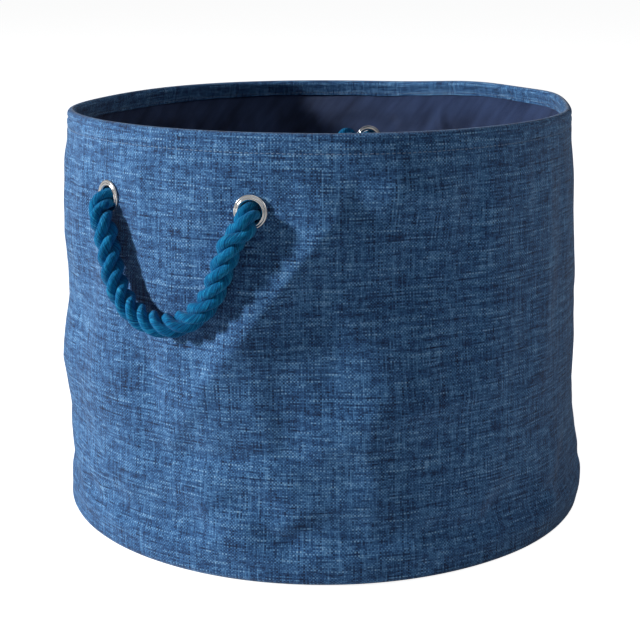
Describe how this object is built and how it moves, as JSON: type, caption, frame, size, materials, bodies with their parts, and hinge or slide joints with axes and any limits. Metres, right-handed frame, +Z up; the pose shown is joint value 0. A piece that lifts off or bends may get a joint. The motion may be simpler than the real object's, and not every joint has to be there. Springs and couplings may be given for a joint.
{
  "type": "fabric storage bin",
  "caption": "Round open-topped fabric storage bin with a lined woven wall, a wire-stiffened rim, a boarded flat base and swinging rope handles.",
  "frame": {"origin": "centre of the underside of the base, on the floor", "axes": "+Z up, +Y from the front handle to the rear handle, +X to the right seen from the front"},
  "size_m": [0.3994, 0.4184, 0.305],
  "materials": {
    "outer_fabric": "slubby plain weave of blue yarns, backed with a coating",
    "lining_fabric": "smooth plain navy lining",
    "rope": "three-strand twisted cotton rope, teal",
    "eyelet_metal": "polished nickel plate",
    "hoop_wire": "plain galvanised wire",
    "base_board": "plain stiff board"
  },
  "bodies": {
    "bin": {"outer_wall": "outer_fabric", "outer_base": "outer_fabric", "bottom_seam": "outer_fabric", "side_seam": "outer_fabric", "lining_wall": "lining_fabric", "lining_base": "lining_fabric", "lining_seam": "lining_fabric", "rim_hoop": "hoop_wire", "hoop_ferrule": "hoop_wire", "base_board": "base_board", "eyelet_front_left": "eyelet_metal", "washer_front_left": "eyelet_metal", "knot_front_left": "rope", "eyelet_front_right": "eyelet_metal", "washer_front_right": "eyelet_metal", "knot_front_right": "rope", "eyelet_rear_left": "eyelet_metal", "washer_rear_left": "eyelet_metal", "knot_rear_left": "rope", "eyelet_rear_right": "eyelet_metal", "washer_rear_right": "eyelet_metal", "knot_rear_right": "rope"},
    "front_handle": {"rope_handle_front": "rope"},
    "rear_handle": {"rope_handle_rear": "rope"}
  },
  "joints": [
    {"name": "front_handle_swing", "type": "hinge", "parent": "bin", "child": "front_handle", "pos_m": [0, -0.19296, 0.254], "axis": [-1, 0, 0], "range_deg": [0, 165]},
    {"name": "rear_handle_swing", "type": "hinge", "parent": "bin", "child": "rear_handle", "pos_m": [0, 0.19296, 0.254], "axis": [1, 0, 0], "range_deg": [0, 165]}
  ]
}
